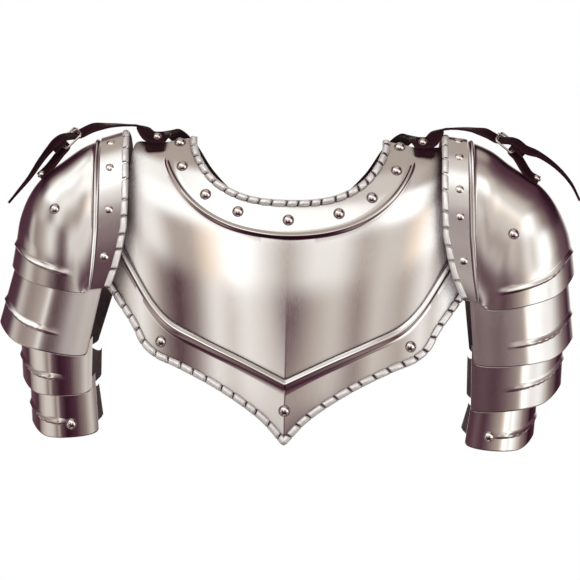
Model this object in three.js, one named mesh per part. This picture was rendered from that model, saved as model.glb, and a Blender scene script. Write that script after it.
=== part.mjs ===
// Front plate of a plate gorget with its pair of pauldrons, in millimetres.
// X runs to the viewer's right across the shoulders, the front faces -Y, Z is up.
// The origin is the middle of the line over the tops of the shoulders, at the base of the neck.
import * as THREE from 'three';

// ---- driving dimensions ----
const steelWall = 1.5;          // sheet thickness
const seam = 0.4;               // clearance between pieces that meet
const foldRoom = 1.1;           // leather folds stand this much further off what they go round
const ropeWidth = 7;            // rolled and roped edges
const ropeHeight = 3.6;
const beadWidth = 8;            // raised line beside the rivets of the collar
const beadHeight = 2.8;
const borderBeadWidth = 10;     // raised line above the lower border
const borderBeadHeight = 3.6;
const fluteHeight = 1.8;        // short ridges on the pauldron plates
const rivetRadius = 4.6;
const rivetHeight = 3.2;
const rivetSides = 10;
const rivetOffset = 0.7;        // head clear of the curved sheet under it
const leatherWall = 2.4;
const backStrapWidth = 18;
const shoulderStrapWidth = 15;
const innerStrapWidth = 18;
const frameBar = 2.4;           // buckle wire
const frameWidth = 23;
const frameLength = 20;
const prongRadius = 0.9;

// ---- front plate: half outlines from the middle line to the right side ----
const neckEdge = [
  { x: 0, z: -61 }, { x: 28, z: -59.5 }, { x: 50, z: -54 }, { x: 72, z: -41 },
  { x: 86, z: -23 }, { x: 92, z: -8 }, { x: 92.5, z: 1 },
];
const collarLine = [
  { x: 0, z: -97 }, { x: 51, z: -90 }, { x: 82, z: -76 }, { x: 104, z: -57 },
  { x: 119, z: -34 }, { x: 125, z: -16 }, { x: 126, z: -5.5 },
];
const borderLine = [
  { x: 0, z: -243.5 }, { x: 42, z: -223 }, { x: 83, z: -204 }, { x: 114, z: -188 },
  { x: 131, z: -171 }, { x: 158, z: -128 }, { x: 170, z: -107 },
];
const lowerEdge = [
  { x: 0, z: -303 }, { x: 21, z: -280 }, { x: 62, z: -251.5 }, { x: 106, z: -229 },
  { x: 127, z: -220 }, { x: 140, z: -209 }, { x: 150, z: -190 }, { x: 166, z: -167 }, { x: 179, z: -149 },
];
// outer side of the panel, from the collar line along the shoulder and down the arm opening
const sideEdge = [
  { x: 126, z: -5.5 }, { x: 141, z: -5 }, { x: 153, z: -6 }, { x: 158, z: -24 },
  { x: 160, z: -50 }, { x: 164, z: -80 }, { x: 170, z: -107 },
];

// depth of the plate: how far its face stands in front of the shoulder line
const shoulderDepth = 12;
const chestRise = 38;           // quick rise below the shoulders
const chestRiseLength = 35;
const chestSlope = 0.2;         // steady rise below that
const chestTuck = 0.0005;       // the belly of the plate comes round to upright at its foot
const chestTuckStart = 60;
const chestHalfWidth = 196;     // where the face would turn fully sideways
const keelStart = -95;          // the middle crease starts below the collar
const keelRise = 0.000055;      // it grows sharper towards the point
const keelWidth = 26;

function chestDepth(x, z) {
  const middle = shoulderDepth + chestRise * (1 - Math.exp(Math.min(z, 0) / chestRiseLength))
    + chestSlope * Math.max(-z, 0) - chestTuck * Math.max(-chestTuckStart - z, 0) ** 2;
  const round = Math.sqrt(Math.max(1 - (x / chestHalfWidth) ** 2, 0.02));
  const keel = keelRise * Math.max(keelStart - z, 0) ** 2 * Math.exp(-Math.abs(x) / keelWidth);
  return -(middle * round + keel);
}

// ---- pauldrons: the two sides were raised by hand and differ a little ----
// front = lower front corner, top = highest or outermost point, in front view
const pauldrons = [
  {
    name: 'right_arm',           // the wearer's right arm, at -X
    side: -1,
    edge: { frontX: 176, frontZ: -151, topX: 161, topZ: 4.5, depth: 62, bow: 11.4 },
    bead: { frontX: 196, frontZ: -154, topX: 192, topZ: -5, depth: 64, bow: 3 },
    crown: [
      { x: 192, z: -5 }, { x: 207, z: -12 }, { x: 226, z: -26 }, { x: 247, z: -43 },
      { x: 260, z: -62 }, { x: 268, z: -84 }, { x: 271, z: -104 }, { x: 275, z: -131 },
    ],
    hem: { frontX: 201, frontZ: -156, depth: 66, dip: 9 },
    bandRivets: [72, 52, 31, 12],
    faceRivet: { across: 1.4, angle: 46 },
    lames: [
      { name: 'upper', frontTopX: 180, frontTopZ: -138, frontX: 196, frontZ: -216, outerTopX: 268,
        outerTopZ: -116, outerX: 286, outerZ: -187, depthTop: 59, depth: 67, dip: 15,
        rearInset: 6, flute: 21 },
      { name: 'middle', frontTopX: 191, frontTopZ: -200, frontX: 191, frontZ: -251, outerTopX: 266,
        outerTopZ: -184, outerX: 262, outerZ: -240, depthTop: 60, depth: 62, dip: 15,
        rearInset: 5, flute: 20 },
      { name: 'lower', frontTopX: 188, frontTopZ: -236, frontX: 183, frontZ: -291, outerTopX: 256,
        outerTopZ: -226, outerX: 252, outerZ: -285, depthTop: 56.5, depth: 57, dip: 14,
        rearInset: 0, flute: 17 },
    ],
    lameRivet: { along: 0.76, angle: 22 },
    innerAngles: [46, 30, 27, 22],
    toeBar: { x: 212, z: 4 },
    heelBar: { x: 226, z: -10 },
    shoulderStrap: [{ x: 150, z: 10.2 }, { x: 164, z: 11.2 },
      { x: 182, z: 10.4 }, { x: 196, z: 8 }],
    tail: [{ x: 247.5, z: -25 }, { x: 259, z: -43 }, { x: 270, z: -57 }, { x: 279.5, z: -69 }],
    chapeFoot: [{ x: 249, z: -42.5 }, { x: 240, z: -33.5 }],
  },
  {
    name: 'left_arm',
    side: 1,
    edge: { frontX: 174, frontZ: -155, topX: 152, topZ: 5.5, depth: 62, bow: 13.4 },
    bead: { frontX: 190, frontZ: -158, topX: 181, topZ: 2, depth: 64, bow: 3 },
    crown: [
      { x: 181, z: 2 }, { x: 202, z: -7 }, { x: 220, z: -20 }, { x: 237, z: -31 },
      { x: 252, z: -41 }, { x: 267, z: -59 }, { x: 279, z: -84 }, { x: 284, z: -104 }, { x: 287, z: -127 },
    ],
    hem: { frontX: 196, frontZ: -163, depth: 66, dip: 16 },
    bandRivets: [79, 62, 43, 31, 14],
    faceRivet: { across: 1.42, angle: 36 },
    lames: [
      { name: 'upper', frontTopX: 180, frontTopZ: -142, frontX: 186, frontZ: -217, outerTopX: 279,
        outerTopZ: -114, outerX: 287, outerZ: -191, depthTop: 59, depth: 67, dip: 17,
        rearInset: 0, flute: 22 },
      { name: 'middle', frontTopX: 184, frontTopZ: -201, frontX: 184, frontZ: -263, outerTopX: 278,
        outerTopZ: -176, outerX: 276, outerZ: -238, depthTop: 60.5, depth: 62, dip: 15,
        rearInset: 0, flute: 24 },
      { name: 'lower', frontTopX: 186, frontTopZ: -248, frontX: 179, frontZ: -297, outerTopX: 254,
        outerTopZ: -234, outerX: 250, outerZ: -288, depthTop: 56.5, depth: 57, dip: 14,
        rearInset: 0, flute: 17 },
    ],
    lameRivet: { along: 0.72, angle: 18 },
    innerAngles: [36, 27, 23, 18],
    toeBar: { x: 208, z: 8 },
    heelBar: { x: 224, z: -5 },
    shoulderStrap: [{ x: 150, z: 12.4 }, { x: 165, z: 14.6 },
      { x: 183, z: 13.6 }, { x: 195, z: 10.8 }],
    tail: [{ x: 248, z: -9.5 }, { x: 266, z: -21.5 }, { x: 281, z: -37.5 }, { x: 290.5, z: -55 }],
    chapeFoot: [{ x: 249, z: -36 }, { x: 239, z: -30 }],
  },
];
const copRearInset = 6;         // the rear corners of the cops sit a little nearer the body
const cornerRound = 12;         // rear corners of the lames are rounded off
const cornerAngle = 22;
const copFluteFromHem = 20;
const lameKeelHeight = 2.2;     // soft upright ridge where the hem is lowest
const lameKeelAngle = 33;
const lameKeelWidth = 14;
// how far the inner edge of the cop bows towards the neck, by angle up the arch
const edgeBow = [
  { angle: 0, share: 0 }, { angle: 8, share: 0.56 }, { angle: 14, share: 0.8 }, { angle: 23, share: 1 },
  { angle: 41, share: 0.72 }, { angle: 60, share: 0.34 }, { angle: 90, share: 0 },
];

// ---- materials ----
const steel = { color: '#b9b2ae', roughness: 0.22, metalness: 1 };
const rivetSteel = { color: '#c9c0bb', roughness: 0.2, metalness: 1 };
const nickel = { color: '#cfc6b6', roughness: 0.28, metalness: 1 };
const leather = { color: '#2a1419', roughness: 0.55, metalness: 0 };

const part = new THREE.Group();

function addPart(name, geometry, finish, place) {
  const mesh = new THREE.Mesh(geometry, new THREE.MeshStandardMaterial(finish));
  mesh.name = name;
  if (place) {
    mesh.position.copy(place.position);
    mesh.quaternion.copy(place.quaternion);
  }
  part.add(mesh);
  return mesh;
}

const toRadians = THREE.MathUtils.degToRad;
const mix = THREE.MathUtils.lerp;
const mirrored = (side) => (p) => new THREE.Vector3(side * p.x, p.y ?? 0, p.z);

// value of a table column at an angle, straight between rows
function fromTable(table, angle) {
  const next = table.findIndex((row) => row.angle >= angle);
  if (next <= 0) return table[0].share;
  const [a, b] = [table[next - 1], table[next]];
  return mix(a.share, b.share, (angle - a.angle) / (b.angle - a.angle));
}

function meshFrom(points, faces) {
  const geometry = new THREE.BufferGeometry();
  geometry.setAttribute('position', new THREE.Float32BufferAttribute(points.flatMap((p) => [p.x, p.y, p.z]), 3));
  const volume = faces.reduce((sum, [a, b, c]) =>
    sum + points[a].dot(new THREE.Vector3().crossVectors(points[b], points[c])), 0);
  geometry.setIndex(faces.flatMap(([a, b, c]) => (volume > 0 ? [a, b, c] : [a, c, b])));
  return geometry;
}

// normals of a grid of points, from its neighbours
function gridNormals(grid, outward) {
  return grid.map((row, r) => row.map((point, c) => {
    const along = new THREE.Vector3().subVectors(row[Math.min(c + 1, row.length - 1)], row[Math.max(c - 1, 0)]);
    const above = grid[Math.max(r - 1, 0)][c];
    const below = grid[Math.min(r + 1, grid.length - 1)][c];
    return new THREE.Vector3().subVectors(below, above).cross(along).normalize().multiplyScalar(outward);
  }));
}

// a closed sheet: the grid is its outer face before the relief, lift raises it, wall is its thickness
function sheet(grid, lift, wall, outward) {
  const normals = gridNormals(grid, outward);
  const rows = grid.length;
  const columns = grid[0].length;
  const points = [];
  for (const drop of [0, wall]) {
    grid.forEach((row, r) => row.forEach((point, c) =>
      points.push(point.clone().addScaledVector(normals[r][c], lift(r, c) - drop))));
  }
  const outer = (r, c) => r * columns + c;
  const inner = (r, c) => rows * columns + r * columns + c;
  const faces = [];
  const quad = (a, b, c, d) => faces.push([a, b, c], [a, c, d]);
  for (let r = 0; r < rows - 1; r += 1) {
    for (let c = 0; c < columns - 1; c += 1) {
      quad(outer(r, c), outer(r + 1, c), outer(r + 1, c + 1), outer(r, c + 1));
      quad(inner(r, c), inner(r, c + 1), inner(r + 1, c + 1), inner(r + 1, c));
    }
  }
  for (let c = 0; c < columns - 1; c += 1) {
    quad(outer(0, c), outer(0, c + 1), inner(0, c + 1), inner(0, c));
    quad(outer(rows - 1, c + 1), outer(rows - 1, c), inner(rows - 1, c), inner(rows - 1, c + 1));
  }
  for (let r = 0; r < rows - 1; r += 1) {
    quad(outer(r + 1, 0), outer(r, 0), inner(r, 0), inner(r + 1, 0));
    quad(outer(r, columns - 1), outer(r + 1, columns - 1), inner(r + 1, columns - 1), inner(r, columns - 1));
  }
  return meshFrom(points, faces);
}

// a strap: a flat section carried along points that each hold the outward direction of its face
function strap(stations, width, { tipShare = 0, smoothness = 2 } = {}) {
  const path = new THREE.CatmullRomCurve3(stations.map((s) => s.point));
  const faceWay = new THREE.CatmullRomCurve3(stations.map((s) => s.normal));
  const steps = (stations.length - 1) * smoothness;
  const points = [];
  for (let i = 0; i <= steps; i += 1) {
    const t = i / steps;
    const tangent = path.getTangent(t);
    const side = new THREE.Vector3().crossVectors(tangent, faceWay.getPoint(t)).normalize();
    const up = new THREE.Vector3().crossVectors(side, tangent).normalize();
    const half = (width / 2) * Math.min(1, tipShare ? Math.max((1 - t) / tipShare, 0.12) : 1);
    for (const [across, out] of [[-1, -1], [1, -1], [1, 1], [-1, 1]]) {
      points.push(path.getPoint(t).addScaledVector(side, across * half).addScaledVector(up, (out * leatherWall) / 2));
    }
  }
  const faces = [[0, 1, 2], [0, 2, 3]];
  const last = steps * 4;
  faces.push([last, last + 2, last + 1], [last, last + 3, last + 2]);
  for (let i = 0; i < steps; i += 1) {
    for (let k = 0; k < 4; k += 1) {
      const [a, b] = [i * 4 + k, i * 4 + ((k + 1) % 4)];
      faces.push([a, a + 4, b + 4], [a, b + 4, b]);
    }
  }
  return meshFrom(points, faces);
}

// a domed rivet head standing on a surface point
function addRivet(name, point, normal, radius = rivetRadius) {
  const rings = 3;
  const profile = [new THREE.Vector2(0, 0)];
  for (let i = 0; i <= rings; i += 1) {
    const angle = (i / rings) * Math.PI / 2;
    profile.push(new THREE.Vector2(radius * Math.cos(angle), (rivetHeight * radius / rivetRadius) * Math.sin(angle)));
  }
  profile[profile.length - 1].x = 0;
  const place = {
    position: point.clone().addScaledVector(normal, rivetOffset),
    quaternion: new THREE.Quaternion().setFromUnitVectors(new THREE.Vector3(0, 1, 0), normal),
  };
  addPart(name, new THREE.LatheGeometry(profile, rivetSides), rivetSteel, place);
}

// ---- front plate ----
// smooth outlines run across the middle without a corner, the others meet there in a point
function halfOutline(table, smooth) {
  const right = table.map(mirrored(1));
  const points = smooth ? [...table.slice(1).reverse().map(mirrored(-1)), ...right] : right;
  const curve = new THREE.CatmullRomCurve3(points, false, 'centripetal');
  return (s) => {
    const p = smooth ? curve.getPointAt(0.5 + Math.abs(s) / 2) : curve.getPointAt(Math.abs(s));
    return new THREE.Vector3(Math.sign(s) * Math.abs(p.x), 0, p.z);
  };
}
const neckAt = halfOutline(neckEdge, true);
const collarAt = halfOutline(collarLine, true);
const borderAt = halfOutline(borderLine, false);
const hemAt = halfOutline(lowerEdge, false);
const sideCurve = new THREE.CatmullRomCurve3(sideEdge.map(mirrored(1)), false, 'centripetal');

const towards = (from, to, distance) => (s) => {
  const start = from(s);
  return start.clone().addScaledVector(to(s).sub(start).normalize(), distance);
};
const between = (from, to, share) => (s) => from(s).lerp(to(s), share);

// a row across the panel, drawn out near the sides so that it ends on the arm opening
const panelRow = (share) => (s) => {
  const row = between(collarAt, borderAt, share)(s);
  const chord = between(collarAt, borderAt, share)(1);
  const pull = sideCurve.getPointAt(share).sub(chord).multiplyScalar(s ** 4);
  return row.add(new THREE.Vector3(Math.sign(s) * pull.x, 0, pull.z));
};

const plateRows = [
  { at: neckAt, lift: 1 },
  { at: towards(neckAt, collarAt, 0.28 * ropeWidth), lift: ropeHeight },
  { at: towards(neckAt, collarAt, 0.72 * ropeWidth), lift: ropeHeight },
  { at: towards(neckAt, collarAt, ropeWidth), lift: 0 },
  { at: between(neckAt, collarAt, 0.54), lift: 0 },
  { at: towards(collarAt, neckAt, beadWidth / 2), lift: 0 },
  { at: collarAt, lift: beadHeight, fadeAtShoulder: true },
  { at: towards(collarAt, borderAt, beadWidth / 2), lift: 0 },
  ...[0.12, 0.25, 0.4, 0.55, 0.7, 0.85].map((share) => ({ at: panelRow(share), lift: 0 })),
  { at: towards(borderAt, collarAt, borderBeadWidth / 2), lift: 0 },
  { at: borderAt, lift: borderBeadHeight },
  { at: towards(borderAt, hemAt, borderBeadWidth / 2), lift: 0 },
  { at: between(borderAt, hemAt, 0.5), lift: 0 },
  { at: towards(hemAt, borderAt, ropeWidth), lift: 0 },
  { at: towards(hemAt, borderAt, 0.72 * ropeWidth), lift: ropeHeight },
  { at: towards(hemAt, borderAt, 0.28 * ropeWidth), lift: ropeHeight },
  { at: hemAt, lift: 1 },
];
const plateColumns = 38;
const beadFade = { from: 0.87, to: 0.92 };   // the collar bead runs out under the strap ends

function buildPlate() {
  const across = Array.from({ length: plateColumns + 1 }, (_, c) => (2 * c) / plateColumns - 1);
  const grid = plateRows.map((row) => across.map((s) => {
    const p = row.at(s);
    return p.setY(chestDepth(p.x, p.z));
  }));
  const fade = (s) => 1 - THREE.MathUtils.smoothstep(Math.abs(s), beadFade.from, beadFade.to);
  const lift = (r, c) => plateRows[r].lift * (plateRows[r].fadeAtShoulder ? fade(across[c]) : 1);
  addPart('gorget_plate', sheet(grid, lift, steelWall, 1), steel);
}

// point off the face of the plate, and the way the face looks there
function onPlate(x, z, out) {
  const reach = 1;
  const alongX = new THREE.Vector3(2 * reach, chestDepth(x + reach, z) - chestDepth(x - reach, z), 0);
  const alongZ = new THREE.Vector3(0, chestDepth(x, z + reach) - chestDepth(x, z - reach), 2 * reach);
  const normal = new THREE.Vector3().crossVectors(alongX, alongZ).normalize();
  return { point: new THREE.Vector3(x, chestDepth(x, z), z).addScaledVector(normal, out), normal };
}

const collarRivets = [
  { x: -109.5, z: -5 }, { x: -106.5, z: -29 }, { x: -82.5, z: -57 }, { x: -50, z: -73.5 }, { x: 0, z: -81 },
  { x: 50, z: -73.5 }, { x: 82.5, z: -57 }, { x: 106.5, z: -29 }, { x: 109.5, z: -5 },
];
const borderRivets = [{ x: -123.5, z: -203.5 }, { x: 0, z: -269 }, { x: 123.5, z: -203.5 }];

function addPlateRivets(name, places) {
  places.forEach(({ x, z }, i) => {
    const { point, normal } = onPlate(x, z, 0);
    addRivet(`${name}_${i + 1}`, point, normal);
  });
}

// ---- pauldron plates ----
// the hems hang lowest halfway between the front corner and the outer side
function hemDip(angle) {
  const swing = Math.max(Math.sin(2 * angle), 0);
  return angle < Math.PI / 4 ? Math.sqrt(swing) : swing ** 2;
}

// half an ellipse from the front corner over the top to the rear corner
function archPoint(arch, side, degrees) {
  const angle = toRadians(degrees);
  const { rearInset } = arch;
  const middleX = arch.frontX - rearInset / 2;
  const share = fromTable(edgeBow, Math.min(degrees, 180 - degrees));
  const dip = arch.dip * hemDip(Math.min(angle, Math.PI - angle));
  const x = middleX + (rearInset / 2) * Math.cos(angle) + (arch.topX - middleX) * Math.sin(angle) - arch.bow * share;
  const z = arch.frontZ + (arch.topZ - arch.frontZ) * Math.sin(angle) - dip;
  return new THREE.Vector3(side * x, -arch.depth * Math.cos(angle), z);
}

// arches of the cop: 0 is its inner edge, 1 the raised line, 2 the hem
function copArch(pauldron, across) {
  const { edge, bead, hem, crown } = pauldron;
  if (across <= 1) {
    const blend = (key) => mix(edge[key], bead[key], across);
    return { frontX: blend('frontX'), frontZ: blend('frontZ'), topX: blend('topX'), topZ: blend('topZ'),
      depth: blend('depth'), bow: blend('bow'), dip: 0, rearInset: copRearInset };
  }
  const share = across - 1;
  const top = new THREE.CatmullRomCurve3(crown.map(mirrored(1)), false, 'centripetal').getPointAt(share);
  const blend = (key) => mix(bead[key], hem[key], share);
  return { frontX: blend('frontX'), frontZ: blend('frontZ'), topX: top.x, topZ: top.z,
    depth: blend('depth'), bow: bead.bow * (1 - share), dip: hem.dip * share ** 2, rearInset: copRearInset };
}

const archSteps = 22;
const archAngles = Array.from({ length: archSteps + 1 }, (_, i) => (180 * i) / archSteps);
// flutes run out before they reach the front and rear corners
const fluteFade = (degrees, from, to) => THREE.MathUtils.smoothstep(Math.min(degrees, 180 - degrees), from, to);

function buildCop(pauldron) {
  const { edge, bead, crown, side, name } = pauldron;
  const bandWidth = Math.hypot(bead.topX - edge.topX, bead.topZ - edge.topZ);
  const crownLength = new THREE.CatmullRomCurve3(crown.map(mirrored(1)), false, 'centripetal').getLength();
  const band = (distance) => distance / bandWidth;
  const flute = 2 - copFluteFromHem / crownLength;
  const halfFlute = 3.5 / crownLength;
  const halfBead = 3.2;
  const rows = [
    { across: 0, lift: 1 },
    { across: band(0.28 * ropeWidth), lift: ropeHeight },
    { across: band(0.72 * ropeWidth), lift: ropeHeight },
    { across: band(ropeWidth), lift: 0 },
    { across: band(bandWidth - halfBead), lift: 0 },
    { across: 1, lift: 0.7 * beadHeight },
    { across: 1 + halfBead / crownLength, lift: 0 },
    ...[1.15, 1.3, 1.45, 1.6, 1.72].map((across) => ({ across, lift: 0 })),
    { across: flute - halfFlute, lift: 0 },
    { across: flute, lift: fluteHeight, faded: true },
    { across: flute + halfFlute, lift: 0 },
    { across: 2, lift: 0 },
  ];
  const grid = rows.map((row) => archAngles.map((a) => archPoint(copArch(pauldron, row.across), side, a)));
  const lift = (r, c) => rows[r].lift * (rows[r].faded ? fluteFade(archAngles[c], 16, 32) : 1);
  addPart(`${name}_cop`, sheet(grid, lift, steelWall, side), steel);
}

function lameArch(lame, along) {
  const blend = (top, bottom) => mix(lame[top], lame[bottom], along);
  return { frontX: blend('frontTopX', 'frontX'), frontZ: blend('frontTopZ', 'frontZ'), topX: blend('outerTopX', 'outerX'),
    topZ: blend('outerTopZ', 'outerZ'), depth: blend('depthTop', 'depth'), bow: 0, dip: lame.dip,
    rearInset: lame.rearInset };
}

// the rear corners are cut round, the top and the hem drawing together there
function lamePoint(lame, side, along, degrees) {
  const p = archPoint(lameArch(lame, along), side, degrees);
  const round = THREE.MathUtils.smoothstep(degrees, 180 - cornerAngle, 180) ** 2;
  p.z += cornerRound * round * (2 * along - 1);
  return p;
}

function buildLame(pauldron, lame) {
  const height = lame.outerTopZ - lame.outerZ;
  const flute = 1 - lame.flute / height;
  const halfFlute = 3.5 / height;
  const rows = [
    { along: 0, lift: 0 },
    { along: flute - halfFlute, lift: 0 },
    { along: flute, lift: fluteHeight },
    { along: flute + halfFlute, lift: 0 },
    { along: 1, lift: 0 },
  ];
  const grid = rows.map((row) => archAngles.map((a) => lamePoint(lame, pauldron.side, row.along, a)));
  const keel = (a) => lameKeelHeight * Math.exp(-Math.abs(Math.min(a, 180 - a) - lameKeelAngle) / lameKeelWidth);
  const lift = (r, c) => rows[r].lift * fluteFade(archAngles[c], 18, 32) + keel(archAngles[c]);
  addPart(`${pauldron.name}_${lame.name}_lame`, sheet(grid, lift, steelWall, pauldron.side), steel);
}

// point and outward way on a surface given by a function of two numbers
function onSurface(surface, u, v, side, out) {
  const reach = 0.01;
  const alongV = surface(u, v + 1).sub(surface(u, v - 1));
  const alongU = surface(u + reach, v).sub(surface(u - reach, v));
  const normal = new THREE.Vector3().crossVectors(alongU, alongV).normalize().multiplyScalar(side);
  return { point: surface(u, v).addScaledVector(normal, out), normal };
}

function addPauldronRivets(pauldron) {
  const { name, side } = pauldron;
  const cop = (across, degrees) => archPoint(copArch(pauldron, across), side, degrees);
  const lowerLame = pauldron.lames[2];
  const lame = (along, degrees) => lamePoint(lowerLame, side, along, degrees);
  pauldron.bandRivets.forEach((degrees, i) => {
    const { point, normal } = onSurface(cop, 0.56, degrees, side, 0);
    addRivet(`${name}_band_rivet_${i + 1}`, point, normal);
  });
  for (const [end, mirror] of [['front', (a) => a], ['rear', (a) => 180 - a]]) {
    const face = onSurface(cop, pauldron.faceRivet.across, mirror(pauldron.faceRivet.angle), side, 0);
    addRivet(`${name}_${end}_cop_rivet`, face.point, face.normal);
    const { along, angle } = pauldron.lameRivet;
    const foot = onSurface(lame, along, mirror(angle), side, lameKeelHeight * 0.75);
    addRivet(`${name}_${end}_lame_rivet`, foot.point, foot.normal);
  }
}

// leathers inside the pauldron that carry the lames, one in front and one behind
function addInnerStraps(pauldron) {
  const { name, side, innerAngles, lames } = pauldron;
  const inside = -(steelWall + seam + leatherWall / 2 + 0.8);
  const cop = (across, degrees) => archPoint(copArch(pauldron, across), side, degrees);
  for (const [end, mirror] of [['front', (a) => a], ['rear', (a) => 180 - a]]) {
    const stations = [
      onSurface(cop, pauldron.faceRivet.across - 0.08, mirror(innerAngles[0]), side, inside),
      onSurface(cop, pauldron.faceRivet.across + 0.08, mirror(innerAngles[0]), side, inside - 1),
    ];
    lames.forEach((lame, i) => {
      const surface = (along, degrees) => lamePoint(lame, side, along, degrees);
      stations.push(onSurface(surface, 0.04, mirror(innerAngles[i + 1]), side, inside - 1.2));
      if (i === lames.length - 1) {
        stations.push(onSurface(surface, 0.45, mirror(innerAngles[i + 1]), side, inside - 0.6));
        stations.push(onSurface(surface, 0.86, mirror(innerAngles[i + 1]), side, inside - 0.4));
      }
    });
    addPart(`${name}_${end}_inner_leather`, strap(stations, innerStrapWidth), leather);
  }
}

// ---- shoulder straps, buckles and back straps ----
const strapPlaneY = -4;          // the pauldron straps run over the top of the shoulder
const bucklePlaneY = -10;        // the buckles lie a little in front of it and lean forward
const buckleLean = 32;
const tailLean = 20;
const strapOnPlate = seam + leatherWall / 2 + 1;
const strapOnTab = strapOnPlate + leatherWall + seam;   // both ends share one rivet on the plate
const tabPlace = { x: 132, z: -4.5 };
const tabRise = { inner: 0.3, rivet: 1, outer: 1.4 };   // the strap end lifts off the tab towards the arm
const chapeRise = 0.2;

const leaning = (way, degrees) => way.clone().multiplyScalar(Math.cos(toRadians(degrees)))
  .add(new THREE.Vector3(0, -Math.sin(toRadians(degrees)), 0));

function addBuckle(pauldron) {
  const { name, side, toeBar, heelBar, tail, chapeFoot } = pauldron;
  const toe = new THREE.Vector3(side * toeBar.x, bucklePlaneY, toeBar.z);
  const heel = new THREE.Vector3(side * heelBar.x, bucklePlaneY, heelBar.z);
  const down = heel.clone().sub(toe).normalize();
  const uprightOut = new THREE.Vector3(side * Math.abs(down.z), 0, Math.abs(down.x));
  const out = leaning(uprightOut, buckleLean);
  const at = (from, alongDown, alongOut) => from.clone().addScaledVector(down, alongDown).addScaledVector(out, alongOut);
  const station = (point) => ({ point, normal: out });
  const up = new THREE.Vector3(0, 0, 1);
  const inPlane = (p, y = bucklePlaneY) => new THREE.Vector3(side * p.x, y, p.z);

  // wire frame with a window for the strap
  const outline = new THREE.Shape();
  const window = new THREE.Path();
  const [halfWidth, halfLength] = [frameWidth / 2, frameLength / 2 + frameBar / 2];
  const corners = [[-1, -1], [1, -1], [1, 1], [-1, 1]];
  outline.setFromPoints(corners.map(([a, b]) => new THREE.Vector2(a * halfWidth, b * halfLength)));
  window.setFromPoints(corners.map(([a, b]) =>
    new THREE.Vector2(a * (halfWidth - frameBar), b * (halfLength - frameBar))).reverse());
  outline.holes.push(window);
  const frame = new THREE.ExtrudeGeometry(outline, { depth: frameBar, bevelEnabled: false });
  frame.translate(0, 0, -frameBar / 2);
  const axes = new THREE.Matrix4().makeBasis(new THREE.Vector3().crossVectors(down, out), down, out);
  const turn = new THREE.Quaternion().setFromRotationMatrix(axes);
  addPart(`${name}_buckle_frame`, frame, nickel, { position: toe.clone().lerp(heel, 0.5), quaternion: turn });

  // prong lying on the strap and over the toe bar
  const overBar = frameBar / 2 + seam + prongRadius;
  const prongFoot = at(toe, 4.6, overBar + 0.9);
  const prongTip = at(toe, -2.4, overBar);
  const prong = new THREE.CylinderGeometry(0.6 * prongRadius, prongRadius, prongFoot.distanceTo(prongTip), 8);
  const prongWay = prongTip.clone().sub(prongFoot).normalize();
  addPart(`${name}_buckle_prong`, prong, nickel, {
    position: prongFoot.clone().lerp(prongTip, 0.5),
    quaternion: new THREE.Quaternion().setFromUnitVectors(new THREE.Vector3(0, 1, 0), prongWay),
  });

  // strap from the shoulder, under the toe bar, over the heel bar and its chape, to a pointed tail
  const underToe = frameBar / 2 + seam + leatherWall / 2;
  const overChape = frameBar / 2 + leatherWall + 2 * seam + leatherWall / 2 + foldRoom + 0.2;
  const overGap = pauldron.shoulderStrap.map((p, i) => {
    const share = (i / (pauldron.shoulderStrap.length - 1)) ** 2;
    return { point: inPlane(p, mix(strapPlaneY, bucklePlaneY, share)), normal: leaning(up, buckleLean * share) };
  });
  const hanging = tail.map((p, i) => ({ point: inPlane(p),
    normal: leaning(uprightOut, mix(buckleLean, tailLean, (i + 1) / tail.length)) }));
  const stations = [
    onPlate(side * (tabPlace.x - 7), tabPlace.z, strapOnTab + tabRise.inner),
    onPlate(side * (tabPlace.x + 6), tabPlace.z, strapOnTab + tabRise.outer),
    ...overGap,
    station(at(toe, 1.5, -underToe - 0.6)),
    station(at(toe, 7.5, 0.6)),
    station(at(toe, 12.5, 4.8)),
    station(at(heel, -2, overChape + 0.5)),
    station(at(heel, 8, overChape + 1)),
    ...hanging,
  ];
  addPart(`${name}_shoulder_strap`, strap(stations, shoulderStrapWidth, { tipShare: 0.3 }), leather);

  // chape: folded round the heel bar, its under layer riveted to the cop
  const roundBar = frameBar / 2 + seam + leatherWall / 2 + foldRoom;
  const chapeStations = [
    ...chapeFoot.map((p) => ({ point: at(inPlane(p), 0, chapeRise), normal: out })),
    { point: at(heel, 7, -roundBar - 0.6), normal: out },
    ...[-90, -45, 0, 45, 90].map((degrees) => {
      const [across, along] = [Math.cos(toRadians(degrees)), Math.sin(toRadians(degrees))];
      return { point: at(heel, -roundBar * across, roundBar * along),
        normal: down.clone().multiplyScalar(across).addScaledVector(out, -along) };
    }),
    { point: at(heel, 5, roundBar), normal: out.clone().negate() },
    { point: at(heel, 11, roundBar - 1), normal: out.clone().negate() },
  ];
  addPart(`${name}_chape`, strap(chapeStations, shoulderStrapWidth, { smoothness: 2 }), leather);
  addRivet(`${name}_chape_rivet`, at(inPlane(chapeFoot[0]), -3, chapeRise + leatherWall / 2), out, 3.4);
}

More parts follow.
